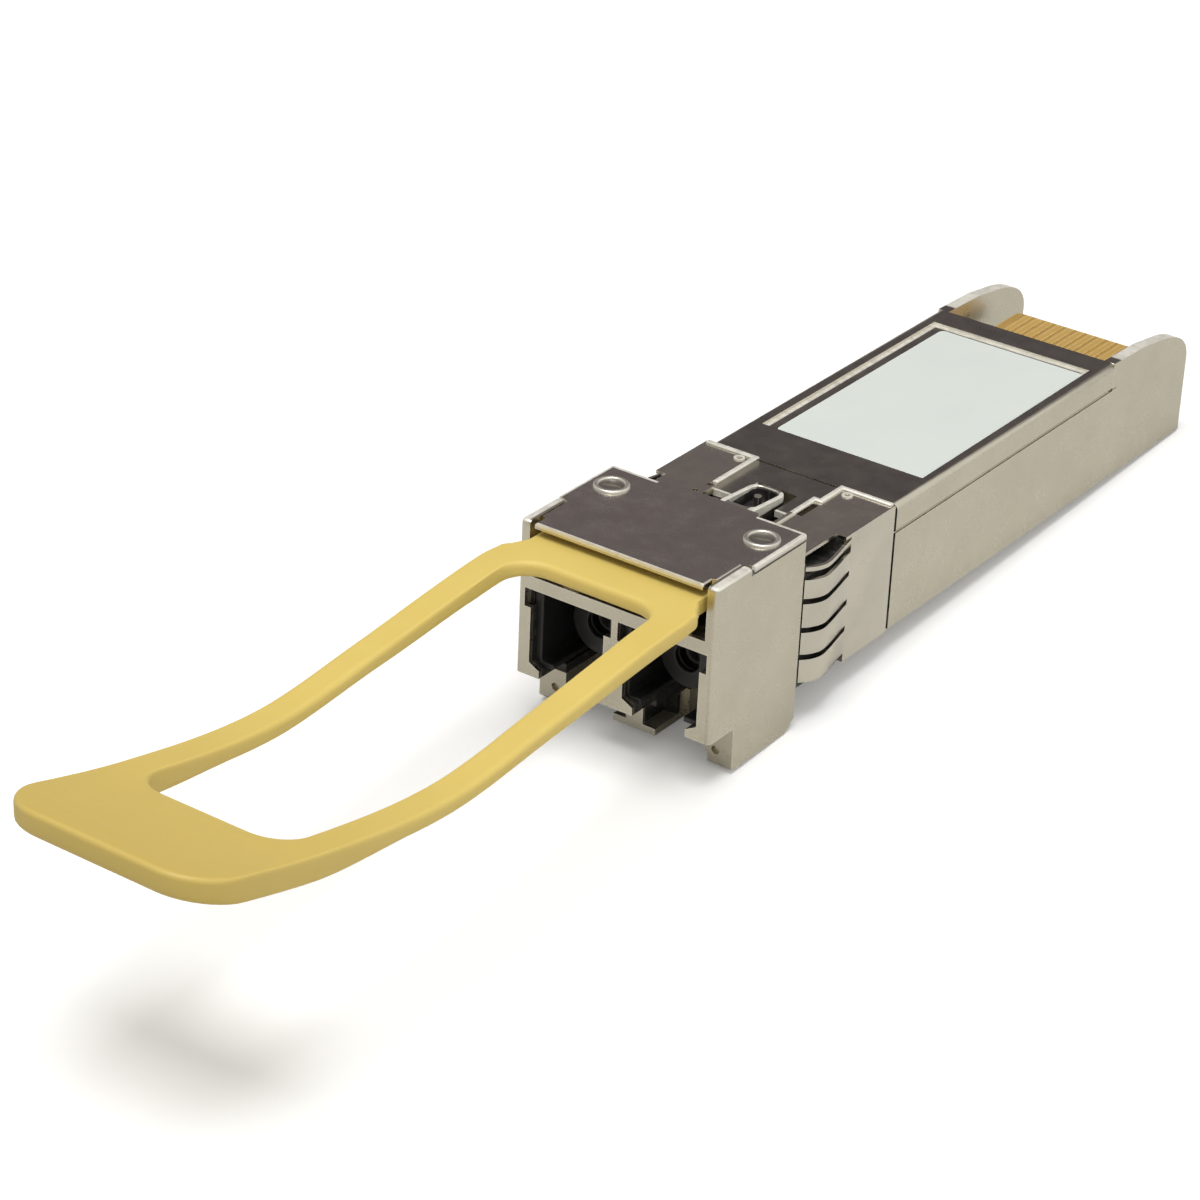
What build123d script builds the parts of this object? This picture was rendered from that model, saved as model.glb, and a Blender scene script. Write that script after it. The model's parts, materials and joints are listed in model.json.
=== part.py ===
"""Pluggable optical transceiver with a duplex LC front and a long pull tab.

Millimetres. Origin: the centreline of the latch-side face, in the plane of the head's rear
stop faces. +X to the right seen from the optical ports, +Y into the cage, +Z out of the
latch-side face. The module lies with its latch side up and its LC latch channels below.
"""
from build123d import *
from math import atan2, cos, degrees, radians, sin
import os

os.makedirs("parts", exist_ok=True)

# ---------------------------------------------------------------- driving dimensions
# lengths along the insertion axis
head_length = 9.0            # part that stays outside the cage
rear_end = 47.5              # stop faces to rear end
latch_shoulder = 2.5         # stop faces to the locking face of the latch boss
open_top_start = 37.1        # the latch side is open behind this for the host connector
board_end = 44.3             # card edge
clip_end = 10.05             # rear edge of the EMI spring clip
clip_shoulder = 10.25        # the body is full width behind this

# cross section of the body
head_half = 6.9
body_half = 6.7
clip_thickness = 0.2
body_top = -clip_thickness
body_bottom = -8.6
wall = 0.8
chamber_half = body_half - wall
chamber_floor = body_bottom + wall
seam = -2.0                  # split line between base and cover, on the sides

# head
plate_thickness = 0.35
head_deck = 1.7              # the head cover plate lies on this
head_roof = head_deck + plate_thickness
bezel_bottom = -8.0
bezel_thickness = 0.6
lug_bottom = -10.8
lug_front = -6.5
lug_inner = 5.0
tongue_half = 1.75
tongue_bottom = -10.45
tongue_stem_half = 0.6
tongue_foot = 0.45

# optical ports
fibre_pitch = 6.25
fibre_x = fibre_pitch / 2
fibre_z = -4.9
ferrule_radius = 0.625
port_top = -2.3
port_step = -3.5
port_chamfer_top = -7.1
port_floor = -7.5
channel_inner = 1.5
channel_outer = 5.2

# actuator slot in the head, latch cavity in the body
slot_half = 6.2
slot_floor = -1.45
well_floor = -1.9
cavity_half = 3.1
cavity_floor = -2.5
cavity_front = -1.2
cavity_rear = 7.3
deck_front = 5.1             # thin deck over the slide flanges, behind this
deck_bottom = -0.6
boss_slot_half = 1.45
post_x = 5.3
post_y = -2.25

# latch rocker and its drive
stroke = 2.2
rock_angle = 5.0
pivot_y = -3.5
pivot_z = -1.15
drive_y = 3.4
drive_z = -1.05
pin_radius = 0.25
running_gap = 0.02
rocker_half = 1.75
rocker_top = -0.65
rocker_thickness = 0.8
boss_half = 1.2
boss_height = 0.45
boss_rear = 7.0
boss_rear_height = 0.15
boss_wall = 0.3

# slide plate
slide_top = -0.1
slide_thickness = 0.45
slide_bottom = slide_top - slide_thickness
arm_half = 2.95
flange_thickness = 0.5
flange_top = -0.66
arm_rear = 1.2

# return springs
spring_x = 4.0
spring_z = -1.0
spring_radius = 0.3
spring_wire = 0.07
spring_front = -7.4
spring_rear = -3.9

# pull tab
tab_half = 6.9
tab_root_half = 5.9
tab_tip = -52.6
tab_opening_rear = -11.55
tab_opening_front = -44.25
tab_opening_half = 5.0
tab_arm_thickness = 1.0
tab_tip_thickness = 1.5

# circuit board
board_top = -2.25
board_thickness = 1.0
board_bottom = board_top - board_thickness
board_half = 5.4
card_half = 4.6
board_front = 11.5
card_neck = 36.8

# label
label_left = -4.85
label_right = 5.85
label_front = 14.7
label_rear = 34.5
pocket_depth = 0.2


def across(y):
    """Plane at depth y, X to the right and Z up; a negative extrusion runs to the rear."""
    return Plane(origin=(0, y, 0), x_dir=(1, 0, 0), z_dir=(0, -1, 0))


def block(x_range, y_range, z_range, mode=Mode.ADD):
    """A box between two limits on each axis, in the current part."""
    (x0, x1), (y0, y1), (z0, z1) = x_range, y_range, z_range
    with Locations(((x0 + x1) / 2, (y0 + y1) / 2, (z0 + z1) / 2)):
        Box(x1 - x0, y1 - y0, z1 - z0, mode=mode)


def both_sides(x_range, y_range, z_range, mode=Mode.ADD):
    """The same box on the right and mirrored on the left."""
    block(x_range, y_range, z_range, mode)
    block((-x_range[1], -x_range[0]), y_range, z_range, mode)


def finish(part, name):
    """Label a piece and write it."""
    part.label = name
    export_step(part, f"parts/{name}.step")


# ---------------------------------------------------------------- base shell
port_outline = [
    (0.22, port_top),
    (6.4, port_top),
    (6.4, port_step),
    (5.95, port_step),
    (5.95, port_chamfer_top),
    (channel_outer, port_floor),
    (channel_outer, bezel_bottom - 0.1),
    (channel_inner, bezel_bottom - 0.1),
    (channel_inner, port_floor),
    (0.73, port_chamfer_top),
    (0.73, port_step),
    (0.22, port_step),
]
ear_corner = 43.8
ear_front = [
    (rear_end, -3.2),
    (rear_end, -3.6),
    (open_top_start, -3.6),
    (open_top_start, body_top),
    (41.0, body_top - 0.12),
    (44.0, -0.75),
]
lug_outline = [
    (lug_front, bezel_bottom + 0.5),
    (lug_front, lug_bottom + 0.15),
    (lug_front + 0.15, lug_bottom),
    (-0.9, lug_bottom),
    (0, lug_bottom + 0.7),
    (0, bezel_bottom + 0.5),
]
receptacle_pocket_rear = -3.0
receptacle_pocket_half = 6.1
receptacle_pocket_top = -2.45
bore_rear = 2.0
barrel_bore = 1.95
wing_start = 7.6
groove_floor = 6.3
groove_rear = 10.5
hook_hole_x = 2.88
hook_hole_end = 3.3
hook_hole_front = 5.2
hook_hole_rear = 7.0

with BuildPart() as base_shell:
    # head block, down to the bezel's lower edge
    block((-head_half, head_half), (-head_length, 0), (bezel_bottom, head_deck))
    # front walls that stand up beside the narrow end of the cover plate
    both_sides((slot_half, head_half), (-head_length, -5.6), (head_deck, head_roof))
    fillet(base_shell.edges().filter_by(Axis.Z).group_by(Axis.Y)[0].group_by(Axis.X)[0], 0.3)
    fillet(base_shell.edges().filter_by(Axis.Z).group_by(Axis.Y)[0].group_by(Axis.X)[-1], 0.3)
    wall_tops = base_shell.edges().filter_by(Axis.Y).group_by(Axis.Z)[-1].sort_by(Axis.X)
    fillet([wall_tops[0], wall_tops[-1]], 0.25)
    # side lugs that guard the LC latches
    for side in (1, -1):
        inner = lug_inner if side > 0 else -head_half
        with BuildSketch(Plane.YZ.offset(inner)):
            with BuildLine():
                Polyline(*lug_outline, close=True)
            make_face()
        extrude(amount=head_half - lug_inner)
    # centre tongue between the LC latch channels
    block((-tongue_half, tongue_half), (lug_front, -1.0), (bezel_bottom - 0.5, bezel_bottom + 0.4))
    block((-tongue_stem_half, tongue_stem_half), (lug_front, -1.0), (tongue_bottom, bezel_bottom))
    block((-tongue_half, tongue_half), (lug_front, -1.0), (tongue_bottom, tongue_bottom + tongue_foot))
    block((-tongue_half, tongue_half), (-4.3, -1.0), (tongue_bottom, bezel_bottom))
    # moulding dimples on the front faces of the lugs
    with BuildSketch(across(lug_front)):
        with Locations((5.75, -9.8), (-5.75, -9.8)):
            Circle(0.28)
    extrude(amount=-0.4, mode=Mode.SUBTRACT)
    # section inside the spring clip, then the open channel to the rear
    clip_seat_half = body_half - 0.07
    clip_seat_bottom = body_bottom + clip_thickness
    block((-clip_seat_half, clip_seat_half), (0, clip_shoulder), (clip_seat_bottom, body_top))
    block((-body_half, body_half), (clip_shoulder, ear_corner), (body_bottom, seam))
    block((-body_half, body_half), (ear_corner - 0.1, rear_end), (body_bottom, -3.4))
    for side in (1, -1):
        inner = chamber_half if side > 0 else -body_half
        with BuildSketch(Plane.YZ.offset(inner)):
            with BuildLine():
                Polyline(*ear_front)
                Spline(ear_front[-1], (45.9, -1.32), (47.1, -2.2), ear_front[0])
            make_face()
        extrude(amount=wall)
    # shadow groove under the cover plate's edges
    both_sides((head_half - 0.15, head_half + 1), (-5.6, 0.1), (head_deck - 0.15, head_deck), Mode.SUBTRACT)
    # narrow groove behind the clip
    both_sides((groove_floor, 7), (clip_end + 0.03, groove_rear), (-9, 1), Mode.SUBTRACT)
    block((-7, 7), (clip_end + 0.03, groove_rear), (-9, clip_seat_bottom + 0.35), Mode.SUBTRACT)
    # shallow groove along the seam
    seam_groove = (seam - 0.12, seam)
    both_sides((body_half - 0.14, body_half + 1), (clip_shoulder, open_top_start), seam_groove, Mode.SUBTRACT)
    # the cover's front lip rests here
    block((-8, 8), (wing_start, clip_shoulder), (seam, 1), Mode.SUBTRACT)
    # chamber for optics and board
    block((-chamber_half, chamber_half), (bore_rear, clip_end), (chamber_floor, -2.9), Mode.SUBTRACT)
    chamber = (-chamber_half, chamber_half)
    block(chamber, (wing_start + 0.5, rear_end + 1), (chamber_floor, 1), Mode.SUBTRACT)
    # locating ribs for the cover, and ledges that carry the board
    both_sides((5.55, 6.05), (clip_shoulder, 36.6), (seam - 0.4, seam + 0.9))
    both_sides((4.9, chamber_half + 0.2), (12.0, 36.4), (board_bottom - 0.8, board_bottom))
    # barrel bores through the head's rear wall
    with BuildSketch(across(receptacle_pocket_rear - 0.1)):
        with Locations((fibre_x, fibre_z), (-fibre_x, fibre_z)):
            Circle(barrel_bore)
    extrude(amount=-(bore_rear - receptacle_pocket_rear + 0.2), mode=Mode.SUBTRACT)
    # pocket for the LC receptacle, behind the bezel
    block(
        (-receptacle_pocket_half, receptacle_pocket_half),
        (-head_length + bezel_thickness, receptacle_pocket_rear),
        (port_floor, receptacle_pocket_top),
        Mode.SUBTRACT,
    )
    # port windows through the bezel
    with BuildSketch(across(-head_length)):
        with BuildLine():
            Polyline(*port_outline, close=True)
        make_face()
        mirror(about=Plane.YZ)
    extrude(amount=-bezel_thickness, mode=Mode.SUBTRACT)
    # LC latch channels, open below
    both_sides(
        (channel_inner, channel_outer),
        (-head_length, receptacle_pocket_rear - 0.4),
        (lug_bottom - 1, port_floor),
        Mode.SUBTRACT,
    )
    both_sides((lug_inner, channel_outer), (lug_front, -0.0), (lug_bottom + 0.7, bezel_bottom))
    # actuator slot under the cover plate
    block((-slot_half, slot_half), (-head_length - 1, -3.4), (slot_floor, head_deck), Mode.SUBTRACT)
    block((-4.65, 4.65), (-3.5, -1.6), (slot_floor, head_deck), Mode.SUBTRACT)
    block((-3.4, 3.4), (-head_length + bezel_thickness, cavity_front), (well_floor, 0), Mode.SUBTRACT)
    block((-3.15, 3.15), (-1.7, 0.1), (well_floor, head_deck), Mode.SUBTRACT)
    # latch cavity
    block((-cavity_half, cavity_half), (cavity_front, cavity_rear), (cavity_floor, 1), Mode.SUBTRACT)
    block((-cavity_half - 0.1, cavity_half + 0.1), (deck_front, cavity_rear + 0.1), (deck_bottom, body_top))
    with BuildSketch(Plane.XY.offset(1)):
        with Locations((0, (deck_front + cavity_rear - 0.05) / 2)):
            RectangleRounded(2 * boss_slot_half, cavity_rear - 0.05 - deck_front + 2, 0.95)
    extrude(amount=-3, mode=Mode.SUBTRACT)
    # relief beside the clip's narrow upper finger, and pockets behind the clip's hook holes
    both_sides((3.9, 7), (0.6, 4.6), (-1.15, 0.1), Mode.SUBTRACT)
    with BuildSketch(Plane.XY.offset(body_top)):
        with Locations(((hook_hole_x + hook_hole_end) / 2, (hook_hole_front + hook_hole_rear) / 2)):
            Rectangle(hook_hole_end - hook_hole_x, hook_hole_rear - hook_hole_front)
        with Locations((-3.55, 3.95), (-3.3, 5.2)):
            Circle(0.2)
    extrude(amount=-0.8, mode=Mode.SUBTRACT)
    # seats for the pivot pin
    both_sides((1.95, 3.2), (pivot_y - 0.7, pivot_y + 0.7), (well_floor - 0.1, slide_bottom - 0.07))
    with BuildSketch(Plane.YZ.offset(-3.2)):
        with Locations((pivot_y, pivot_z)):
            Circle(pin_radius)
    extrude(amount=6.4, mode=Mode.SUBTRACT)
    # front seats of the return springs
    both_sides((3.5, 4.5), (spring_front - 0.4, spring_front), (slot_floor - 0.1, slide_bottom - 0.06))
    # rivet holes
    with BuildSketch(Plane.XY.offset(head_deck)):
        with Locations((post_x, post_y), (-post_x, post_y)):
            Circle(0.61)
    extrude(amount=-1.6, mode=Mode.SUBTRACT)
finish(base_shell.part, "base_shell")

# ---------------------------------------------------------------- top cover
cover_thickness = 0.8
with BuildPart() as top_cover:
    block((-body_half, body_half), (clip_shoulder, open_top_start), (seam, body_top))
    low_edges = top_cover.edges().filter_by(Axis.Y).group_by(Axis.Z)[0].sort_by(Axis.X)
    chamfer([low_edges[0], low_edges[-1]], 0.1)
    top_edges = top_cover.edges().filter_by(Axis.Y).group_by(Axis.Z)[-1].sort_by(Axis.X)
    fillet([top_edges[0], top_edges[-1]], 0.4)
    block((-clip_seat_half, clip_seat_half), (wing_start, clip_shoulder), (seam, body_top))
    hollow = (seam, body_top - cover_thickness)
    block((-6.1, 6.1), (wing_start - 1, open_top_start + 1), hollow, Mode.SUBTRACT)
    block((-6.1, 6.1), (wing_start, wing_start + 0.45), (seam + 0.05, body_top - 0.5))
    # narrow groove behind the clip
    both_sides((groove_floor, 7), (clip_end + 0.03, groove_rear), (-9, 1), Mode.SUBTRACT)
    block((-7, 7), (clip_end + 0.03, clip_shoulder), (body_top - 0.35, 0), Mode.SUBTRACT)
    # recess that keeps the label off the cage
    block(
        (label_left - 0.95, label_right + 0.05),
        (label_front - 0.1, label_rear + 0.6),
        (body_top - pocket_depth, 0),
        Mode.SUBTRACT,
    )
    # pads that reach down to the chips
    for chip_x, chip_y in ((-2.5, 17.0), (2.7, 17.0), (0, 27.0)):
        with Locations((chip_x, chip_y, body_top - cover_thickness - 0.05)):
            Box(3.6, 3.6, 0.1)
finish(top_cover.part, "top_cover")

# ---------------------------------------------------------------- head cover plate and rivets
plate_outline = [
    (0, -head_length),
    (5.85, -head_length),
    (5.85, -8.05),
    (6.15, -7.95),
    (6.15, -5.55),
    (head_half, -5.25),
    (head_half, 0),
    (3.5, 0),
    (3.3, 0.4),
    (0, 0.4),
]
with BuildPart() as head_cover_plate:
    with BuildSketch(Plane.XY.offset(head_deck)):
        with BuildLine():
            Polyline(*plate_outline, close=True)
        make_face()
        mirror(about=Plane.YZ)
        with Locations((post_x, post_y), (-post_x, post_y)):
            Circle(0.62, mode=Mode.SUBTRACT)
    extrude(amount=plate_thickness)
    fillet(head_cover_plate.edges().filter_by(Axis.Y).group_by(Axis.Z)[-1], 0.15)
finish(head_cover_plate.part, "head_cover_plate")

rivet_head = 0.17
with BuildPart() as cover_rivets:
    with BuildSketch(Plane.XY.offset(head_roof)):
        with Locations((post_x, post_y), (-post_x, post_y)):
            Circle(1.1)
            Circle(0.78, mode=Mode.SUBTRACT)
    extrude(amount=rivet_head)
    fillet(cover_rivets.edges().group_by(Axis.Z)[-1], 0.13)
    with BuildSketch(Plane.XY.offset(head_roof + 0.03)):
        with Locations((post_x, post_y), (-post_x, post_y)):
            Circle(0.9)
    extrude(amount=-0.03)
    with BuildSketch(Plane.XY.offset(head_roof)):
        with Locations((post_x, post_y), (-post_x, post_y)):
            Circle(0.6)
    extrude(amount=-(plate_thickness + 1.4))
    # driver slot across each rivet
    with BuildSketch(Plane.XY.offset(head_roof + 0.03)):
        with Locations((post_x, post_y), (-post_x, post_y)):
            Rectangle(1.1, 0.22, rotation=20)
    extrude(amount=-0.3, mode=Mode.SUBTRACT)
finish(cover_rivets.part, "cover_rivets")

# ---------------------------------------------------------------- EMI spring clip
clip_half = clip_seat_half + clip_thickness
clip_bottom = clip_seat_bottom - clip_thickness
band_front = 5.2
side_fingers = [(-2.42, -1.2), (-4.32, -2.78), (-6.12, -4.68), (-8.0, -6.48), (-0.62, -0.36)]
bottom_finger_width = 2.15
bottom_finger_pitch = 2.4
rim_width = 0.36
rim_height = 0.16
wing_inner = 2.95
hook_inner = 2.5
hook_front = 3.0
hook_rear = 7.7
finger_outer = [(band_front, 0.2), (3.8, 0.48), (2.5, 0.73), (1.75, 0.79), (1.1, 0.6), (0.45, 0.1)]
finger_inner = [(0.55, 0.0), (1.25, 0.41), (1.8, 0.58), (2.5, 0.53), (3.8, 0.28), (band_front, 0.0)]


def finger_outline(seat):
    """Bowed leaf: from the band at the rear it slopes out, peaks near the head and dips to the shell."""
    outer = [(y, seat + height) for y, height in finger_outer]
    inner = [(y, seat + height) for y, height in finger_inner]
    Spline(*outer)
    Line(outer[-1], inner[0])
    Spline(*inner)
    Line(inner[-1], outer[0])


with BuildPart() as emi_spring_clip:
    # band round the sides and the bottom
    both_sides((clip_seat_half, clip_half), (band_front, clip_end), (clip_bottom, 0))
    block((-clip_half, clip_half), (band_front, clip_end), (clip_bottom, clip_seat_bottom))
    # wings over the latch side
    both_sides((wing_inner, clip_half), (band_front - 0.6, clip_end), (body_top, 0))
    both_sides((wing_inner, 6.1), (0.45, band_front), (body_top, 0))
    # hook on the right wing
    block((hook_inner, wing_inner + 0.1), (hook_front, hook_rear), (body_top, 0))
    # turned-up rims along the rear and inner edges
    both_sides((wing_inner, clip_half - 0.15), (clip_end - rim_width, clip_end), (0, rim_height))
    block((wing_inner, wing_inner + rim_width), (hook_rear - rim_width, clip_end), (0, rim_height))
    block((hook_inner, wing_inner + rim_width), (hook_rear - rim_width, hook_rear), (0, rim_height))
    block((hook_inner, hook_inner + rim_width), (hook_front, hook_rear), (0, rim_height))
    block((-wing_inner - rim_width, -wing_inner), (5.5, clip_end), (0, rim_height))
    fillet(emi_spring_clip.edges().group_by(Axis.Z)[-1], 0.14)
    # hook holes and locating dimples
    with BuildSketch(Plane.XY):
        with Locations(((hook_hole_x + hook_hole_end) / 2, (hook_hole_front + hook_hole_rear) / 2)):
            Rectangle(hook_hole_end - hook_hole_x, hook_hole_rear - hook_hole_front)
        with Locations((-3.55, 3.95), (-3.3, 5.2)):
            Circle(0.2)
    extrude(amount=-clip_thickness, mode=Mode.SUBTRACT)
    with BuildSketch(Plane.XY.offset(-0.05)):
        with Locations((3.9, 9.25), (-3.9, 9.25)):
            Circle(0.35)
            Circle(0.2, mode=Mode.SUBTRACT)
    extrude(amount=0.12)
    # bowed side fingers
    for low, high in side_fingers:
        with BuildSketch(Plane(origin=(0, 0, low), x_dir=(0, 1, 0), z_dir=(0, 0, 1))):
            with BuildLine():
                finger_outline(clip_seat_half)
            make_face()
        extrude(amount=high - low)
        # the same leaf on the other side
        with BuildSketch(Plane(origin=(0, 0, low), x_dir=(0, 1, 0), z_dir=(0, 0, -1))):
            with BuildLine():
                finger_outline(clip_seat_half)
            make_face()
        extrude(amount=-(high - low))
    # bowed bottom fingers
    for place in range(-2, 3):
        left_edge = place * bottom_finger_pitch - bottom_finger_width / 2
        with BuildSketch(Plane(origin=(left_edge, 0, 0), x_dir=(0, 1, 0), z_dir=(-1, 0, 0))):
            with BuildLine():
                finger_outline(-clip_seat_bottom)
            make_face()
        extrude(amount=-bottom_finger_width)
finish(emi_spring_clip.part, "emi_spring_clip")

# ---------------------------------------------------------------- label
with BuildPart() as id_label:
    with BuildSketch(Plane.XY.offset(body_top - pocket_depth)):
        with Locations(((label_left + label_right) / 2, (label_front + label_rear) / 2)):
            RectangleRounded(label_right - label_left, label_rear - label_front, 0.4)
    extrude(amount=0.08)
finish(id_label.part, "id_label")

# ---------------------------------------------------------------- LC receptacle
receptacle_front = -head_length + bezel_thickness + 0.02
receptacle_rear = receptacle_pocket_rear - 0.02
receptacle_half = receptacle_pocket_half - 0.03
plug_cavity = 4.7
plug_height = 4.5
nozzle_radius = 1.45
nozzle_front = -5.6
receptacle_web = -3.7
tube_front = -6.0
tube_mouth = 0.85

with BuildPart() as lc_receptacle:
    block(
        (-receptacle_half, receptacle_half),
        (receptacle_front, receptacle_rear),
        (port_floor + 0.02, receptacle_pocket_top - 0.03),
    )
    for side in (1, -1):
        centre = side * fibre_x
        low = centre - plug_cavity / 2
        high = centre + plug_cavity / 2
        cavity_z = (fibre_z - plug_height / 2, fibre_z + plug_height / 2)
        block((low, high), (receptacle_front, receptacle_web), cavity_z, Mode.SUBTRACT)
        # latch window in the floor
        block((centre - 1.5, centre + 1.5), (receptacle_front, -4.6), (port_floor, fibre_z), Mode.SUBTRACT)
        # tube round the barrel, closed to a small mouth at its front
        with BuildSketch(across(tube_front)):
            with Locations((centre, fibre_z)):
                Circle(nozzle_radius + 0.45)
        extrude(amount=-(receptacle_web - tube_front + 0.1))
        with BuildSketch(across(nozzle_front - 0.03)):
            with Locations((centre, fibre_z)):
                Circle(nozzle_radius + 0.03)
        extrude(amount=-4, mode=Mode.SUBTRACT)
        with BuildSketch(across(tube_front)):
            with Locations((centre, fibre_z)):
                Circle(tube_mouth)
        extrude(amount=-4, mode=Mode.SUBTRACT)
finish(lc_receptacle.part, "lc_receptacle")

# ---------------------------------------------------------------- optical subassemblies
flange_radius = 1.9
barrel_radius = 1.6
barrel_rear = 3.0
sleeve_front = -5.0
sleeve_rear = -0.8
sleeve_outer = 1.0
stub_front = -1.6
can_rear = 6.0
pin_rear = 6.75
stub_seat = 0.85
nozzle_mouth = 0.8
nozzle_outline = [
    (nozzle_mouth, nozzle_front),
    (nozzle_radius, nozzle_front),
    (nozzle_radius, receptacle_pocket_rear + 0.05),
    (flange_radius, receptacle_pocket_rear + 0.05),
    (flange_radius, -2.0),
    (barrel_radius, -2.0),
    (barrel_radius, barrel_rear),
    (stub_seat + 0.02, barrel_rear),
    (stub_seat + 0.02, sleeve_rear),
    (sleeve_outer, sleeve_rear),
    (sleeve_outer, sleeve_front),
    (nozzle_mouth, sleeve_front),
]
can_outline = [
    (0, barrel_rear),
    (1.5, barrel_rear),
    (1.5, can_rear - 0.8),
    (flange_radius, can_rear - 0.8),
    (flange_radius, can_rear),
    (0, can_rear),
]


for name, centre in (("transmit", fibre_x), ("receive", -fibre_x)):
    fibre_plane = Plane(origin=(centre, 0, fibre_z), x_dir=(1, 0, 0), z_dir=(0, 0, 1))
    fibre_axis = Axis((centre, 0, fibre_z), (0, 1, 0))
    with BuildPart() as nozzle:
        with BuildSketch(fibre_plane):
            with BuildLine():
                Polyline(*nozzle_outline, close=True)
            make_face()
        revolve(axis=fibre_axis)
        fillet(nozzle.edges().filter_by(GeomType.CIRCLE).group_by(Axis.Y)[0], 0.15)
    finish(nozzle.part, f"{name}_nozzle")

    with BuildPart() as sleeve:
        with BuildSketch(across(sleeve_front + 0.02)):
            with Locations((centre, fibre_z)):
                Circle(sleeve_outer - 0.01)
                Circle(ferrule_radius, mode=Mode.SUBTRACT)
            with Locations((centre, fibre_z + 0.8)):
                Rectangle(0.12, 0.8, mode=Mode.SUBTRACT)
        extrude(amount=-(sleeve_rear - sleeve_front - 0.04))
        # the rear end is opened out for the stub
        with BuildSketch(across(stub_front)):
            with Locations((centre, fibre_z)):
                Circle(stub_seat)
        extrude(amount=-2, mode=Mode.SUBTRACT)
    finish(sleeve.part, f"{name}_sleeve")

    with BuildPart() as stub:
        with BuildSketch(across(stub_front + 0.02)):
            with Locations((centre, fibre_z)):
                Circle(stub_seat - 0.01)
        extrude(amount=-(barrel_rear - stub_front - 0.1))
        chamfer(stub.edges().group_by(Axis.Y)[0], 0.08)
    finish(stub.part, f"{name}_fibre_stub")

    with BuildPart() as can:
        with BuildSketch(fibre_plane):
            with BuildLine():
                Polyline(*can_outline, close=True)
            make_face()
        revolve(axis=fibre_axis)
        with BuildSketch(across(can_rear)):
            with Locations((centre, fibre_z)):
                with GridLocations(1.2, 1.2, 2, 2):
                    Circle(0.15)
        extrude(amount=-(pin_rear - can_rear))
    finish(can.part, f"{name}_can")

# clamp that holds both barrels against the head
with BuildPart() as barrel_clamp:
    block((-5.8, 5.8), (bore_rear + 0.05, bore_rear + 0.85), (chamber_floor + 0.05, -3.0))
    for centre in (fibre_x, -fibre_x):
        with BuildSketch(across(bore_rear)):
            with Locations((centre, fibre_z)):
                Circle(barrel_radius + 0.02)
            with Locations((centre, fibre_z - 2)):
                Rectangle(2 * barrel_radius + 0.04, 4)
        extrude(amount=-2, mode=Mode.SUBTRACT)
finish(barrel_clamp.part, "barrel_clamp")

# ---------------------------------------------------------------- board and what is on it
with BuildPart() as circuit_board:
    block((-board_half, board_half), (board_front, card_neck), (board_bottom, board_top))
    block((-card_half, card_half), (card_neck, board_end), (board_bottom, board_top))
    fillet(circuit_board.edges().filter_by(Axis.Z).group_by(Axis.Y)[-1], 0.4)
    # notches that the flexible circuits pass
    for centre in (fibre_x, -fibre_x):
        block((centre - 1.6, centre + 1.6), (board_front - 1, board_front + 0.6), (-4, -2), Mode.SUBTRACT)
finish(circuit_board.part, "circuit_board")

pad_count = 10
pad_pitch = 0.8
pad_width = 0.55
pad_length = 3.2
pad_thickness = 0.05
with BuildPart() as edge_contacts:
    for pad_level in (board_top, board_bottom - pad_thickness):
        with BuildSketch(Plane.XY.offset(pad_level)):
            with Locations((0, board_end - 0.15 - pad_length / 2)):
                with GridLocations(pad_pitch, 1, pad_count, 1):
                    Rectangle(pad_width, pad_length)
        extrude(amount=pad_thickness)
finish(edge_contacts.part, "edge_contacts")

chip_thickness = 0.8
chips = {
    "laser_driver_chip": (2.7, 17.0, 4.0),
    "receiver_chip": (-2.5, 17.0, 4.0),
    "controller_chip": (0, 27.0, 5.0),
}
pad_gap = body_top - cover_thickness - 0.1 - (board_top + chip_thickness)
for name, (chip_x, chip_y, chip_size) in chips.items():
    with BuildPart() as chip:
        with Locations((chip_x, chip_y, board_top + chip_thickness / 2)):
            Box(chip_size, chip_size, chip_thickness)
        chamfer(chip.edges().group_by(Axis.Z)[-1], 0.1)
    finish(chip.part, name)
    pad_name = name.replace("chip", "thermal_pad")
    with BuildPart() as thermal_pad:
        with Locations((chip_x, chip_y, board_top + chip_thickness + pad_gap / 2)):
            Box(3.4, 3.4, pad_gap)
    finish(thermal_pad.part, pad_name)

with BuildPart() as board_capacitors:
    with BuildSketch(Plane.XY.offset(board_top)):
        for row_y in (13.4, 20.4, 22.6):
            with Locations((0, row_y)):
                with GridLocations(1.5, 1, 6, 1):
                    Rectangle(1.0, 0.5)
    extrude(amount=0.5)
finish(board_capacitors.part, "board_capacitors")

with BuildPart() as board_resistors:
    with BuildSketch(Plane.XY.offset(board_top)):
        for row_x in (-4.2, 4.2):
            with Locations((row_x, 28.5)):
                with GridLocations(1, 1.4, 1, 7):
                    Rectangle(1.0, 0.5)
    extrude(amount=0.3)
finish(board_resistors.part, "board_resistors")

with BuildPart() as absorber_sheet:
    block((-4.6, 4.6), (14.0, 35.0), (chamber_floor, chamber_floor + 0.5))
finish(absorber_sheet.part, "absorber_sheet")

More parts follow.
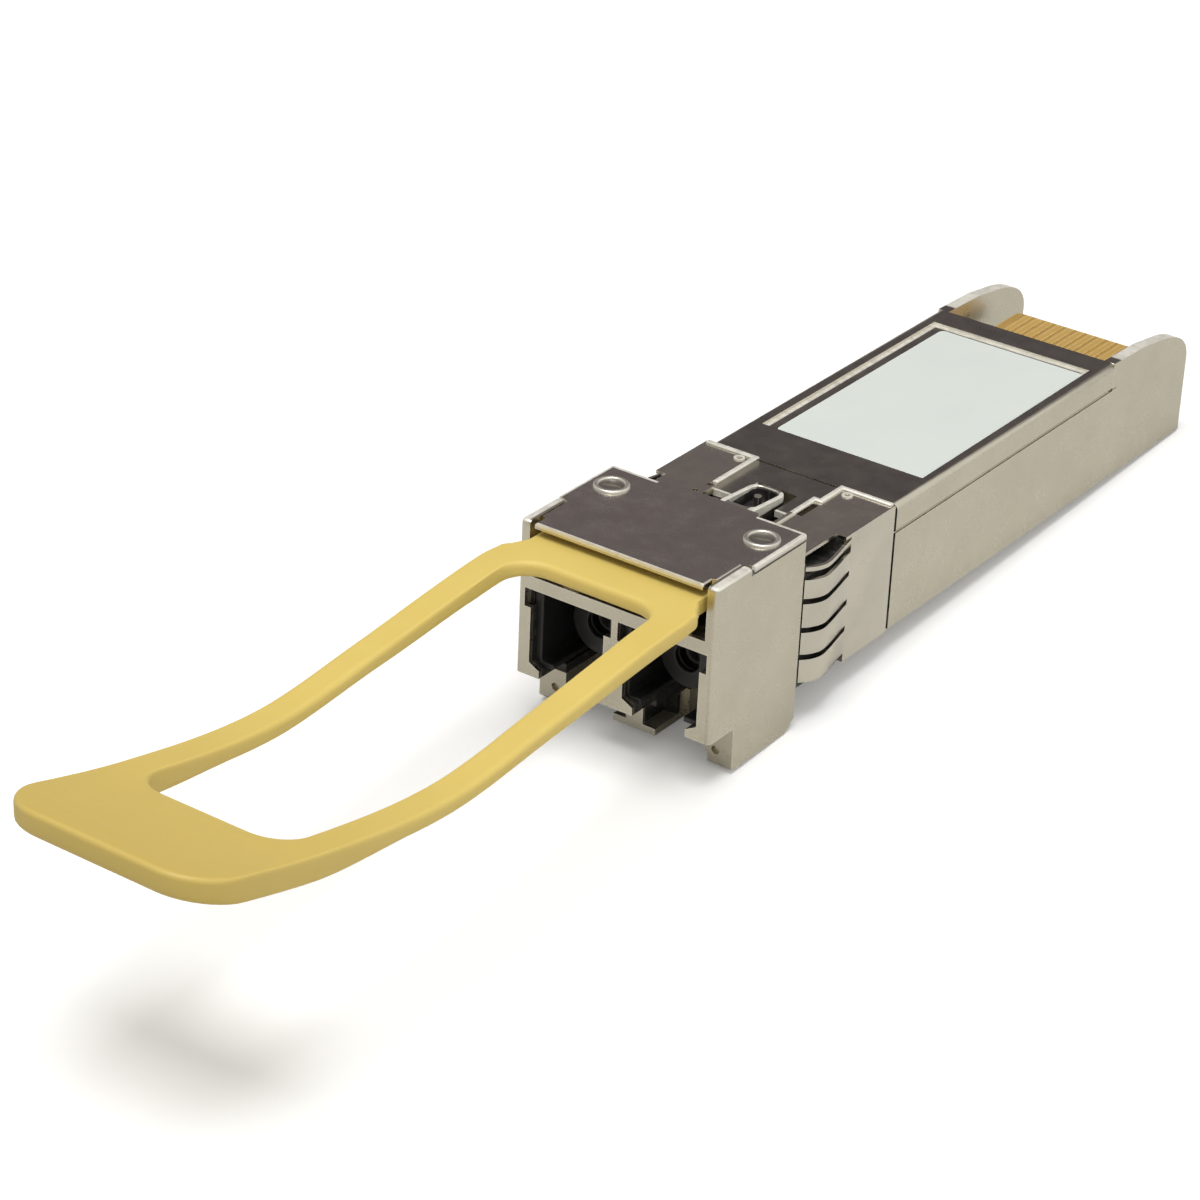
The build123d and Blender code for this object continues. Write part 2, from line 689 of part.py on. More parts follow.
# flexible circuits from the cans to the underside of the board
flex_thickness = 0.12
flex_drop = fibre_z - 1.5
flex_level = board_bottom - flex_thickness
flex_bend = 0.8
for name, centre in (("transmit", fibre_x), ("receive", -fibre_x)):
    with BuildPart() as flex:
        front = pin_rear + 0.01
        outer = flex_bend + flex_thickness
        with BuildSketch(Plane.YZ.offset(centre - 1.3)):
            with BuildLine():
                Line((front, flex_drop), (front, flex_level - flex_bend))
                bend_middle = (front + outer - outer * cos(radians(45)),
                               flex_level - flex_bend + outer * sin(radians(45)))
                ThreePointArc(
                    (front, flex_level - flex_bend), bend_middle, (front + outer, flex_level + flex_thickness)
                )
                Line((front + outer, flex_level + flex_thickness), (15.0, flex_level + flex_thickness))
                Line((15.0, flex_level + flex_thickness), (15.0, flex_level))
                Line((15.0, flex_level), (front + outer, flex_level))
                inner_middle = (front + outer - flex_bend * cos(radians(45)),
                                flex_level - flex_bend + flex_bend * sin(radians(45)))
                ThreePointArc(
                    (front + outer, flex_level), inner_middle, (front + flex_thickness, flex_level - flex_bend)
                )
                Line((front + flex_thickness, flex_level - flex_bend), (front + flex_thickness, flex_drop))
                Line((front + flex_thickness, flex_drop), (front, flex_drop))
            make_face()
        extrude(amount=2.6)
    finish(flex.part, f"{name}_flex")

# ---------------------------------------------------------------- pull tab
tab_level = 1.2
pad_front = -8.7
pad_rear = -5.2
peg_x = 2.5
peg_y = -7.0
tab_line = [
    (-5.0, tab_level),
    (-9.0, tab_level),
    (-14.0, tab_level - 0.02),
    (-24.0, 0.3),
    (-33.0, -0.28),
    (-43.0, 1.3),
    (tab_tip - 1, 4.0),
]


def tab_depth(y):
    """Thickness of the tab: constant along the arms, thicker towards the tip."""
    blend = min(max((-36.0 - y) / 8.0, 0.0), 1.0)
    return tab_arm_thickness + blend * (tab_tip_thickness - tab_arm_thickness)


with BuildPart() as pull_tab:
    with BuildSketch(Plane.YZ.offset(-8)):
        with BuildLine():
            lower_line = [(y, z - tab_depth(y)) for y, z in tab_line]
            Spline(*tab_line, tangents=((-1, 0), (-1, 0.3)))
            Line(tab_line[-1], lower_line[-1])
            Spline(*lower_line, tangents=((-1, 0), (-1, 0.3)))
            Line(tab_line[0], lower_line[0])
        make_face()
    extrude(amount=16)
    with BuildSketch(Plane.XY.offset(-5)) as plan:
        with BuildLine():
            Polyline(
                (-tab_root_half, -5.2),
                (-tab_root_half, -9.2),
                (-tab_half, -11.6),
                (-tab_half, tab_tip),
                (tab_half, tab_tip),
                (tab_half, -11.6),
                (tab_root_half, -9.2),
                (tab_root_half, -5.2),
                close=True,
            )
        make_face()
        fillet(plan.vertices().group_by(Axis.Y)[0], 3.0)
        fillet(plan.vertices().group_by(Axis.Y)[-2], 1.2)
        fillet(plan.vertices().group_by(Axis.Y)[-3], 2.0)
    extrude(amount=12, mode=Mode.INTERSECT)
    with BuildSketch(Plane.XY.offset(-5)):
        with Locations((0, (tab_opening_rear + tab_opening_front) / 2)):
            RectangleRounded(2 * tab_opening_half, tab_opening_rear - tab_opening_front, 2.0)
    extrude(amount=12, mode=Mode.SUBTRACT)
    # moulded foot inside the head, pegged to the slide plate
    block((-4.4, 4.4), (pad_front, pad_rear), (slide_top, tab_level - 0.5))
    with BuildSketch(Plane.XY.offset(slide_top)):
        with Locations((peg_x, peg_y), (-peg_x, peg_y)):
            Circle(0.6)
    extrude(amount=-(slide_thickness + 0.25))
finish(pull_tab.part, "pull_tab")

# ---------------------------------------------------------------- slide plate
slide_rear = 6.4
slot_drop = (drive_y - pivot_y) * sin(radians(rock_angle))
slot_angle = degrees(atan2(slot_drop, stroke))
slot_length = (stroke**2 + slot_drop**2) ** 0.5
slot_gap = 0.06
with BuildPart() as slide_plate:
    with BuildSketch(Plane.XY.offset(slide_bottom)):
        with BuildLine():
            Polyline(
                (0, -8.4), (5.3, -8.4), (5.3, -3.6), (4.5, -3.6), (4.5, -1.8), (arm_half, -1.8),
                (arm_half, arm_rear), (1.9, arm_rear), (1.9, -1.3), (0, -1.3), close=True,
            )
        make_face()
        mirror(about=Plane.YZ)
        with Locations((peg_x, peg_y), (-peg_x, peg_y)):
            Circle(0.61, mode=Mode.SUBTRACT)
    extrude(amount=slide_thickness)
    # flanges with the inclined cam slots
    flange_range = (arm_half - flange_thickness, arm_half)
    both_sides(flange_range, (arm_rear - 1.0, arm_rear), (flange_top - 0.1, slide_bottom))
    both_sides(flange_range, (arm_rear - 1.0, slide_rear), (-1.5, flange_top))
    both_sides(flange_range, (2.4, slide_rear), (-2.3, flange_top))
    with BuildSketch(Plane.YZ.offset(-5)):
        with Locations((drive_y + stroke / 2, drive_z - slot_drop / 2)):
            SlotCenterToCenter(slot_length, 2 * (pin_radius + slot_gap), rotation=-slot_angle)
    extrude(amount=10, mode=Mode.SUBTRACT)
    # tabs that push the return springs
    both_sides((3.5, 4.5), (spring_rear, spring_rear + 0.4), (slot_floor + 0.1, slide_bottom))
finish(slide_plate.part, "slide_plate")

# ---------------------------------------------------------------- latch rocker and pins
rocker_tail = 4.6
with BuildPart() as latch_rocker:
    with BuildSketch(Plane.XY.offset(rocker_top)):
        with Locations((0, (pivot_y + rocker_tail) / 2)):
            Rectangle(2 * rocker_half, rocker_tail - pivot_y)
    extrude(amount=-rocker_thickness)
    with BuildSketch(Plane.YZ.offset(-rocker_half)):
        with Locations((pivot_y, pivot_z)):
            Circle(0.5)
    extrude(amount=2 * rocker_half)
    # boss: round-ended block that slopes down to its rear, hollowed to a rim
    with BuildSketch(Plane.XY.offset(rocker_top - rocker_thickness)):
        with Locations((0, (latch_shoulder + boss_rear) / 2)):
            Rectangle(2 * boss_half, boss_rear - latch_shoulder)
    extrude(amount=boss_height + 0.01 - rocker_top + rocker_thickness)
    tail_corners = latch_rocker.edges().filter_by(Axis.Z).group_by(Axis.Y)[-1]
    fillet(tail_corners, 0.8)
    with BuildSketch(Plane.YZ.offset(-3)):
        with BuildLine():
            Polyline(
                (latch_shoulder - 1, boss_height),
                (latch_shoulder + 0.8, boss_height),
                (boss_rear + 0.1, boss_rear_height),
                (boss_rear + 0.1, 2),
                (latch_shoulder - 1, 2),
                close=True,
            )
        make_face()
    extrude(amount=6, mode=Mode.SUBTRACT)
    hollow_front = latch_shoulder + 0.9
    hollow_rear = boss_rear - boss_wall
    with BuildSketch(Plane.XY.offset(boss_height + 1)):
        with Locations((0, (hollow_front + hollow_rear) / 2)):
            RectangleRounded(2 * (boss_half - boss_wall), hollow_rear - hollow_front, 0.5)
    extrude(amount=-(boss_height + 1 - rocker_top), mode=Mode.SUBTRACT)
    rim_edges = latch_rocker.edges().filter_by(lambda edge: edge.center().Z > boss_rear_height - 0.06)
    fillet(rim_edges, 0.1)
    # peg and drain hole inside the hollow
    with BuildSketch(Plane.XY.offset(rocker_top)):
        with Locations((-0.15, 5.7)):
            Circle(0.24)
    extrude(amount=0.7)
    with BuildSketch(Plane.XY.offset(rocker_top)):
        with Locations((0.25, 4.75)):
            Circle(0.38)
    extrude(amount=-rocker_thickness, mode=Mode.SUBTRACT)
    # bores for the two pins
    with BuildSketch(Plane.YZ.offset(-rocker_half - 1)):
        with Locations((pivot_y, pivot_z)):
            Circle(pin_radius + running_gap)
        with Locations((drive_y, drive_z)):
            Circle(pin_radius)
    extrude(amount=2 * rocker_half + 2, mode=Mode.SUBTRACT)
finish(latch_rocker.part, "latch_rocker")

for name, pin_y, pin_z, pin_half in (
    ("rocker_pivot_pin", pivot_y, pivot_z, 3.15),
    ("rocker_drive_pin", drive_y, drive_z, arm_half - 0.02),
):
    with BuildPart() as pin:
        with BuildSketch(Plane.YZ.offset(-pin_half)):
            with Locations((pin_y, pin_z)):
                Circle(pin_radius)
        extrude(amount=2 * pin_half)
        chamfer(pin.edges().filter_by(GeomType.CIRCLE), 0.05)
    finish(pin.part, name)

# ---------------------------------------------------------------- return springs
spring_turns = 7
spring_length = spring_rear - spring_front - 2 * spring_wire - 0.02
for name, centre in (("right_return_spring", spring_x), ("left_return_spring", -spring_x)):
    with BuildPart() as return_spring:
        with BuildLine() as coil:
            Helix(
                spring_length / spring_turns, spring_length, spring_radius,
                center=(centre, spring_front + spring_wire + 0.01, spring_z), direction=(0, 1, 0),
            )
        with BuildSketch(Plane(origin=coil.line @ 0, z_dir=coil.line % 0)):
            Circle(spring_wire)
        sweep()
    finish(return_spring.part, name)
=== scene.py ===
"""Looks of the pluggable optical transceiver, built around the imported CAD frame."""
import bmesh
import bpy
import json
import math
from mathutils import Euler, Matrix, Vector


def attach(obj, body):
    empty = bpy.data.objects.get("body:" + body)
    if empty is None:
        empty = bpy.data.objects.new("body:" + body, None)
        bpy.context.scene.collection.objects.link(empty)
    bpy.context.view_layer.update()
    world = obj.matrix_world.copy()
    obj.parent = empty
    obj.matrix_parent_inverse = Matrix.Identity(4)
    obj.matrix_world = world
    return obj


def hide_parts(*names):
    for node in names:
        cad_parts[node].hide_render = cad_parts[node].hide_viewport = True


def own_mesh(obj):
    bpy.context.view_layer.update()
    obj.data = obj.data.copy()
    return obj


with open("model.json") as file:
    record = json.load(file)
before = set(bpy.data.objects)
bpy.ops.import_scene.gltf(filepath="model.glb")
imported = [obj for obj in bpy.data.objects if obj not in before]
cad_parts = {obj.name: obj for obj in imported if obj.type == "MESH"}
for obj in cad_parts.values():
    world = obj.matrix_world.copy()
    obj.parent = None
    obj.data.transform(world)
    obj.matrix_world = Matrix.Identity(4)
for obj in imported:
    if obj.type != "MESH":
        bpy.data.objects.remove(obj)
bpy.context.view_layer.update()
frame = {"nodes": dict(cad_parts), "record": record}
MM = 0.001


# ------------------------------------------------------------------ materials
class Nodes:
    """Short hand for building a node material."""

    def __init__(self, name):
        self.material = bpy.data.materials.new(name)
        self.material.use_nodes = True
        self.tree = self.material.node_tree
        self.tree.nodes.clear()
        self.out = self.tree.nodes.new("ShaderNodeOutputMaterial")
        self.shader = self.tree.nodes.new("ShaderNodeBsdfPrincipled")
        self.link(self.shader.outputs[0], self.out.inputs[0])
        self.place = self.tree.nodes.new("ShaderNodeTexCoord").outputs["Object"]

    def link(self, a, b):
        self.tree.links.new(a, b)

    def put(self, socket, value):
        if hasattr(value, "is_output"):
            self.link(value, socket)
        else:
            socket.default_value = value

    def noise(self, scale, detail=3.0, rough=0.55, stretch=(1, 1, 1)):
        mapping = self.tree.nodes.new("ShaderNodeMapping")
        mapping.inputs["Scale"].default_value = stretch
        self.link(self.place, mapping.inputs["Vector"])
        node = self.tree.nodes.new("ShaderNodeTexNoise")
        self.link(mapping.outputs[0], node.inputs["Vector"])
        node.inputs["Scale"].default_value = scale
        node.inputs["Detail"].default_value = detail
        node.inputs["Roughness"].default_value = rough
        return node.outputs[0]

    def ramp(self, value, low, high, out_low=0.0, out_high=1.0):
        node = self.tree.nodes.new("ShaderNodeMapRange")
        node.clamp = True
        limits = {"From Min": low, "From Max": high, "To Min": out_low, "To Max": out_high}
        for name, number in limits.items():
            node.inputs[name].default_value = number
        self.link(value, node.inputs["Value"])
        return node.outputs[0]

    def math(self, kind, a, b):
        node = self.tree.nodes.new("ShaderNodeMath")
        node.operation = kind
        self.put(node.inputs[0], a)
        self.put(node.inputs[1], b)
        return node.outputs[0]

    def mix(self, factor, a, b):
        node = self.tree.nodes.new("ShaderNodeMix")
        node.data_type = "RGBA"
        self.put(node.inputs["Factor"], factor)
        self.put(node.inputs[6], a if hasattr(a, "is_output") else (*a, 1))
        self.put(node.inputs[7], b if hasattr(b, "is_output") else (*b, 1))
        return node.outputs[2]

    def edge(self, radius):
        """1 on edges, 0 on open faces."""
        bevel = self.tree.nodes.new("ShaderNodeBevel")
        bevel.samples = 6
        bevel.inputs["Radius"].default_value = radius
        geometry = self.tree.nodes.new("ShaderNodeNewGeometry")
        dot = self.tree.nodes.new("ShaderNodeVectorMath")
        dot.operation = "DOT_PRODUCT"
        self.link(bevel.outputs[0], dot.inputs[0])
        self.link(geometry.outputs["Normal"], dot.inputs[1])
        return self.ramp(dot.outputs["Value"], 0.995, 0.80)

    def window(self, limits, soft=0.02):
        """1 inside a box of (low, high) limits in mm along |X|, Y and Z; None leaves an axis free."""
        split = self.tree.nodes.new("ShaderNodeSeparateXYZ")
        self.link(self.place, split.inputs[0])
        inside = 1.0
        for axis, limit in enumerate(limits):
            if limit is None:
                continue
            place = split.outputs[axis]
            if axis == 0:
                place = self.math("ABSOLUTE", place, 0.0)
            low, high = limit
            past_low = self.ramp(place, (low - soft) * MM, (low + soft) * MM)
            before_high = self.ramp(place, (high - soft) * MM, (high + soft) * MM, 1.0, 0.0)
            inside = self.math("MULTIPLY", past_low, inside)
            inside = self.math("MULTIPLY", before_high, inside)
        return inside

    def windows(self, boxes):
        """1 inside any of the boxes."""
        total = 0.0
        for box in boxes:
            total = self.math("MAXIMUM", self.window(box), total)
        return total

    def upward(self, low=0.25, high=0.5):
        """1 on faces that look up."""
        split = self.tree.nodes.new("ShaderNodeSeparateXYZ")
        self.link(self.tree.nodes.new("ShaderNodeNewGeometry").outputs["Normal"], split.inputs[0])
        return self.ramp(split.outputs[2], low, high)

    def bump(self, height, strength, distance, normal=None):
        node = self.tree.nodes.new("ShaderNodeBump")
        node.inputs["Strength"].default_value = strength
        node.inputs["Distance"].default_value = distance
        self.link(height, node.inputs["Height"])
        if normal is not None:
            self.link(normal, node.inputs["Normal"])
        return node.outputs[0]

    def set(self, **inputs):
        for name, value in inputs.items():
            self.put(self.shader.inputs[name.replace("_", " ")], value)


# near-black painted shade for the insides of gaps, pockets and ports
painted_gap_shade = (0.012, 0.011, 0.010)
# pale painted highlight tone for rims and faces that catch the light
painted_highlight_tone = (0.80, 0.77, 0.69)
# painted shade for flat upward faces
painted_top_shade = (0.36, 0.335, 0.30)
painted_top_shade_cloud = (0.27, 0.25, 0.23)


def plated(name, base, bright, dark, rough, grain=0.25, grain_scale=9000, stretch=(1, 1, 1),
           edge=0.12 * MM, painted_shade=(), painted_highlights=(), lit=(), dim=()):
    """Nickel plating over a casting or sheet: cloudy tone, fine grain, brighter worn edges.

    The shade boxes paint shade dark into the insides of gaps, the highlight boxes paint highlights pale
    onto rims, the lit boxes paint highlights pale onto the upward faces and the dim boxes paint shade onto
    the flat upward faces.
    """
    n = Nodes(name)
    cloud = n.ramp(n.noise(260, 4, 0.6), 0.35, 0.65)
    fine = n.noise(grain_scale, 4, 0.65, stretch)
    worn = n.edge(edge)
    chipped = n.math("MULTIPLY", worn, n.ramp(n.noise(2600, 3, 0.6), 0.32, 0.6, 0.35, 1.0))
    tone = n.mix(n.ramp(cloud, 0, 1, 0, 0.5), base, dark)
    tone = n.mix(chipped, tone, bright)
    smudge = n.ramp(n.noise(700, 5, 0.6), 0.3, 0.7, rough - 0.06, rough + 0.08)
    smooth = n.math("SUBTRACT", smudge, n.math("MULTIPLY", chipped, 0.10))
    speck = n.ramp(fine, 0.3, 0.7, -0.04, 0.04)
    rough_now = n.math("ADD", smooth, speck)
    metal = 1.0
    # painted shade: flat upward faces inside the dim boxes darkened
    if dim:
        flat = n.math("MULTIPLY", n.windows(dim), n.upward(0.93, 0.99))
        tone = n.mix(flat, tone, n.mix(n.ramp(cloud, 0, 1, 0, 0.7), painted_top_shade, painted_top_shade_cloud))
    # painted highlights: rims and upward faces paled, made rougher and less metallic
    if painted_highlights or lit:
        pale = n.windows(painted_highlights)
        for box in lit:
            pale = n.math("MAXIMUM", n.math("MULTIPLY", n.window(box), n.upward()), pale)
        pale = n.math("MULTIPLY", pale, n.ramp(n.noise(1800, 3), 0.3, 0.6, 0.72, 1.0))
        tone = n.mix(pale, tone, painted_highlight_tone)
        rough_now = n.math("ADD", rough_now, n.math("MULTIPLY", pale, 0.18))
        metal = n.math("SUBTRACT", 1.0, n.math("MULTIPLY", pale, 0.7))
    # painted shade: gaps, pockets and ports darkened, made rougher and less metallic
    if painted_shade:
        uneven = n.ramp(n.noise(1400, 3), 0.25, 0.5, 0.88, 1.0)
        shaded = n.math("MULTIPLY", n.windows(painted_shade), uneven)
        tone = n.mix(shaded, tone, painted_gap_shade)
        rough_now = n.math("ADD", rough_now, n.math("MULTIPLY", shaded, 0.3))
        metal = n.math("SUBTRACT", metal, shaded)
    n.set(Base_Color=tone, Metallic=metal, Roughness=rough_now)
    dents = n.bump(n.noise(700, 2, 0.5), 0.03, 0.03 * MM)
    n.set(Normal=n.bump(fine, grain, 0.006 * MM, dents))
    return n.material


def plastic(name, base, tint, rough, grain=0.3, grain_scale=6000, edge_rub_and_highlight=None, subsurface=0.0,
            tip_shade=None):
    """Moulded plastic: fine spark-erosion grain, slow colour drift, rubbed edges that also carry a painted
    highlight.

    The front-end painted shade is (Y where the painted shade begins, Y where it is full, tone), in mm.
    """
    n = Nodes(name)
    drift = n.ramp(n.noise(180, 3, 0.5), 0.3, 0.7, 0, 0.6)
    tone = n.mix(drift, base, tint)
    # painted shade, darker towards the front end
    if tip_shade:
        rear, front, shade_tone = tip_shade
        split = n.tree.nodes.new("ShaderNodeSeparateXYZ")
        n.link(n.place, split.inputs[0])
        tone = n.mix(n.ramp(split.outputs[1], rear * MM, front * MM), tone, shade_tone)
    worn = n.edge(0.25 * MM)
    # rubbed edges made lighter, which also paints a highlight along them
    if edge_rub_and_highlight:
        rubbed_and_highlit = n.math("MULTIPLY", worn, n.ramp(n.noise(1500, 3), 0.3, 0.6, 0.4, 0.9))
        tone = n.mix(rubbed_and_highlit, tone, edge_rub_and_highlight)
    fine = n.noise(grain_scale, 4, 0.6)
    shine = n.ramp(n.noise(500, 4), 0.3, 0.7, rough - 0.07, rough + 0.07)
    n.set(Base_Color=tone, Roughness=n.math("SUBTRACT", shine, n.math("MULTIPLY", worn, 0.08)))
    n.set(Normal=n.bump(fine, grain, 0.012 * MM))
    if subsurface:
        n.set(Subsurface_Weight=subsurface, Subsurface_Scale=0.4 * MM, Subsurface_Radius=(1.0, 0.6, 0.2))
    return n.material


# boxes in mm, as (|X|, Y, Z) limits in the part's frame
# painted shade inside the shell's gaps, pockets, seam and ports
shell_painted_shade = {
    "behind the clip": ((6.2, 7.1), (10.05, 10.52), None),
    "seam": ((6.4, 7.1), (10.26, 37.6), (-2.06, -2.0)),
    "under the cover plate": ((6.74, 7.1), (-5.62, 0.1), (1.56, 1.735)),
    "beside the top fingers": ((3.85, 6.9), (0.5, 4.75), (-1.3, 0.2)),
    "beside the side fingers": ((6.2, 6.86), (0.05, 5.45), (-9.0, -1.0)),
    "ports": ((0, 6.4), (-8.72, -2.4), (-8.6, -1.2)),
    "tongue": ((0.5, 1.85), (-6.3, -4.0), (-10.0, -8.6)),
}
# painted highlights on the shell's rims, the cavity's front face and the label recess edges
shell_painted_highlights = {
    "cavity's front rim": ((1.42, 2.98), (5.0, 5.3), (-0.75, -0.08)),
    "head's front rim": ((6.35, 7.1), (-9.1, -5.6), (1.9, 2.4)),
    "label recess, sides": ((5.50, 5.80), (15.0, 35.2), (-0.7, -0.22)),
    "label recess, rear": ((0, 6.0), (34.78, 35.2), (-0.7, -0.22)),
}
rear_ears = (None, (38.0, 48.0), (-4.0, 0.5))
cover_front = ((0, 3.0), (4.5, 10.3), (-0.75, 0.1))
cover_top = ((0, 6.6), (7.6, 37.9), (-0.6, 0.1))
clip_top_rims = ((2.3, 7.1), (5.0, 10.2), (0.03, 0.4))
# painted shade in the shell's gaps and ports, painted highlights on its rims and on the rear ears' upward
# faces, painted shade on the cover's flat tops
casting = plated("casting", (0.66, 0.62, 0.515), (0.88, 0.85, 0.78), (0.58, 0.54, 0.44), 0.30,
                 grain=0.14, painted_shade=shell_painted_shade.values(), painted_highlights=shell_painted_highlights.values(),
                 lit=[rear_ears], dim=[cover_front, cover_top])
# painted highlights along the cover plate's right, rear and front edges
sheet = plated("sheet", (0.62, 0.58, 0.52), (0.90, 0.87, 0.80), (0.54, 0.50, 0.45), 0.24, grain=0.15,
               painted_highlights=[((6.68, 7.1), (-6.0, 0.6), (1.8, 2.4)), ((3.5, 7.1), (-0.2, 0.6), (1.8, 2.4)),
                       ((0, 6.0), (-9.2, -8.86), (1.84, 2.4))])
# painted shade in the rocker's cup and along its sides, painted highlight on its arch rim
rocker = plated("rocker", (0.70, 0.66, 0.58), (0.90, 0.87, 0.80), (0.58, 0.54, 0.48), 0.30, grain=0.15,
                painted_shade=[((0.0, 0.93), (2.75, 6.75), (-1.9, 0.02)), ((0.8, 2.0), (2.0, 7.2), (-2.0, -0.22))],
                painted_highlights=[((0.8, 1.3), (2.0, 7.2), (-0.2, 0.6))])
# painted highlights on the clip's top rims
spring = plated("spring", (0.70, 0.66, 0.57), (0.90, 0.87, 0.80), (0.55, 0.52, 0.46), 0.20, grain=0.15,
                grain_scale=5000, stretch=(1, 0.08, 1), edge=0.06 * MM, painted_highlights=[clip_top_rims])
# painted shade on the flat upward faces inside the rivets
rivet = plated("rivet", (0.78, 0.75, 0.68), (0.95, 0.93, 0.88), (0.66, 0.63, 0.56), 0.42, edge=0.08 * MM,
               dim=[((4.4, 6.2), (-3.2, -1.3), (1.8, 2.13))])
# painted shade: the nozzles' steel given a near-black tone deep in the ports
shaded_nozzle_steel = plated("shaded_nozzle_steel", (0.05, 0.048, 0.045), (0.10, 0.095, 0.09), (0.03, 0.03, 0.03), 0.45,
                   edge=0.04 * MM)
turned = plated("turned", (0.60, 0.58, 0.54), (0.85, 0.83, 0.8), (0.5, 0.48, 0.45), 0.28,
                edge=0.05 * MM)
gold = plastic("contact_gold", (0.52, 0.33, 0.095), (0.47, 0.30, 0.085), 0.30, grain=0.1,
               edge_rub_and_highlight=(0.75, 0.55, 0.22))
# the edge tone paints a highlight along the tab's rounded edges; the tone from Y -30 to -52 paints shade on
# the raised tip
tab_plastic = plastic("tab_plastic", (0.70, 0.53, 0.145), (0.66, 0.49, 0.125), 0.50, grain=0.25,
                      edge_rub_and_highlight=(0.82, 0.65, 0.25), subsurface=0.12,
                      tip_shade=(-30.0, -52.0, (0.57, 0.42, 0.105)))
black = plastic("black", (0.012, 0.012, 0.013), (0.02, 0.02, 0.02), 0.42, edge_rub_and_highlight=(0.05, 0.05, 0.05))
# painted shade: the zirconia sleeves given a dark grey deep in the ports
shaded_sleeve_zirconia = plastic("shaded_sleeve_zirconia", (0.12, 0.115, 0.105), (0.10, 0.095, 0.09), 0.3, grain=0.05)
zirconia = plastic("zirconia", (0.86, 0.85, 0.80), (0.80, 0.79, 0.75), 0.18, grain=0.05)
film = plastic("flex_film", (0.50, 0.24, 0.05), (0.42, 0.19, 0.04), 0.30, grain=0.1)
gel = plastic("thermal_gel", (0.45, 0.52, 0.58), (0.40, 0.46, 0.52), 0.6)
fired = plastic("chip_ceramic", (0.42, 0.31, 0.2), (0.34, 0.25, 0.16), 0.4, grain=0.1)
absorber = plastic("absorber", (0.05, 0.05, 0.05), (0.08, 0.08, 0.08), 0.8, grain=0.6, grain_scale=3000)


def board_material():
    n = Nodes("board")
    weave = n.noise(2500, 2, 0.5, (1, 0.3, 1))
    tone = n.mix(n.ramp(weave, 0.4, 0.6, 0, 0.5), (0.44, 0.27, 0.075), (0.36, 0.22, 0.06))
    tone = n.mix(n.edge(0.1 * MM), tone, (0.70, 0.52, 0.24))
    n.set(Base_Color=tone, Roughness=n.ramp(n.noise(900), 0.3, 0.7, 0.3, 0.45))
    n.set(Normal=n.bump(weave, 0.2, 0.01 * MM))
    return n.material


def label_material():
    n = Nodes("label")
    cloud = n.ramp(n.noise(120, 4, 0.5), 0.3, 0.7, 0, 0.7)
    tone = n.mix(cloud, (0.70, 0.745, 0.70), (0.66, 0.71, 0.665))
    tone = n.mix(n.edge(0.15 * MM), tone, (0.80, 0.82, 0.78))
    n.set(Base_Color=tone, Roughness=n.ramp(n.noise(600, 4), 0.3, 0.7, 0.30, 0.42))
    n.set(Coat_Weight=0.3, Coat_Roughness=0.2)
    n.set(Normal=n.bump(n.noise(2200, 3), 0.12, 0.01 * MM))
    return n.material


finishes = {
    "plated_casting": casting, "spring_steel": spring, "turned_steel": turned, "tab_plastic": tab_plastic,
    "black_plastic": black, "label_film": label_material(), "zirconia": zirconia, "gold_plating": gold,
    "flex_film": film, "board_laminate": board_material(), "thermal_gel": gel, "chip_ceramic": fired,
    "absorber": absorber,
}
node_slots = {s["node"]: s["material_slot"] for s in frame["record"]["subparts"]}


def soften(obj, width, segments=2, angle=35):
    """Joins the split corners of a CAD mesh and rounds its edges slightly."""
    weld = obj.modifiers.new("weld", "WELD")
    weld.merge_threshold = 0.002 * MM
    bevel = obj.modifiers.new("bevel", "BEVEL")
    bevel.width = width
    bevel.segments = segments
    bevel.limit_method = "ANGLE"
    bevel.angle_limit = math.radians(angle)
    bevel.harden_normals = True
    bevel.use_clamp_overlap = True


def clothe(obj, material):
    obj.data.materials.clear()
    obj.data.materials.append(material)


def mesh_object(name, mesh, material):
    """Scene object of a closed bmesh, smooth shaded."""
    bmesh.ops.recalc_face_normals(mesh, faces=mesh.faces)
    data = bpy.data.meshes.new(name)
    mesh.to_mesh(data)
    mesh.free()
    data.shade_smooth()
    obj = bpy.data.objects.new(name, data)
    bpy.context.collection.objects.link(obj)
    clothe(obj, material)
    return obj


for name, obj in frame["nodes"].items():
    clothe(obj, finishes[node_slots[name]])
special = {
    "head_cover_plate": sheet, "slide_plate": sheet, "latch_rocker": rocker, "cover_rivets": rivet,
    "transmit_nozzle": shaded_nozzle_steel, "receive_nozzle": shaded_nozzle_steel,
    "transmit_sleeve": shaded_sleeve_zirconia, "receive_sleeve": shaded_sleeve_zirconia,
}
for name, finish in special.items():
    clothe(frame["nodes"][name], finish)

edge_widths = {
    "base_shell": 0.06, "top_cover": 0.06, "head_cover_plate": 0.06, "lc_receptacle": 0.08,
    "id_label": 0.02, "circuit_board": 0.05, "latch_rocker": 0.06, "slide_plate": 0.04,
    "emi_spring_clip": 0.035, "barrel_clamp": 0.05, "laser_driver_chip": 0.03,
}
for name, width in edge_widths.items():
    soften(frame["nodes"][name], width * MM)


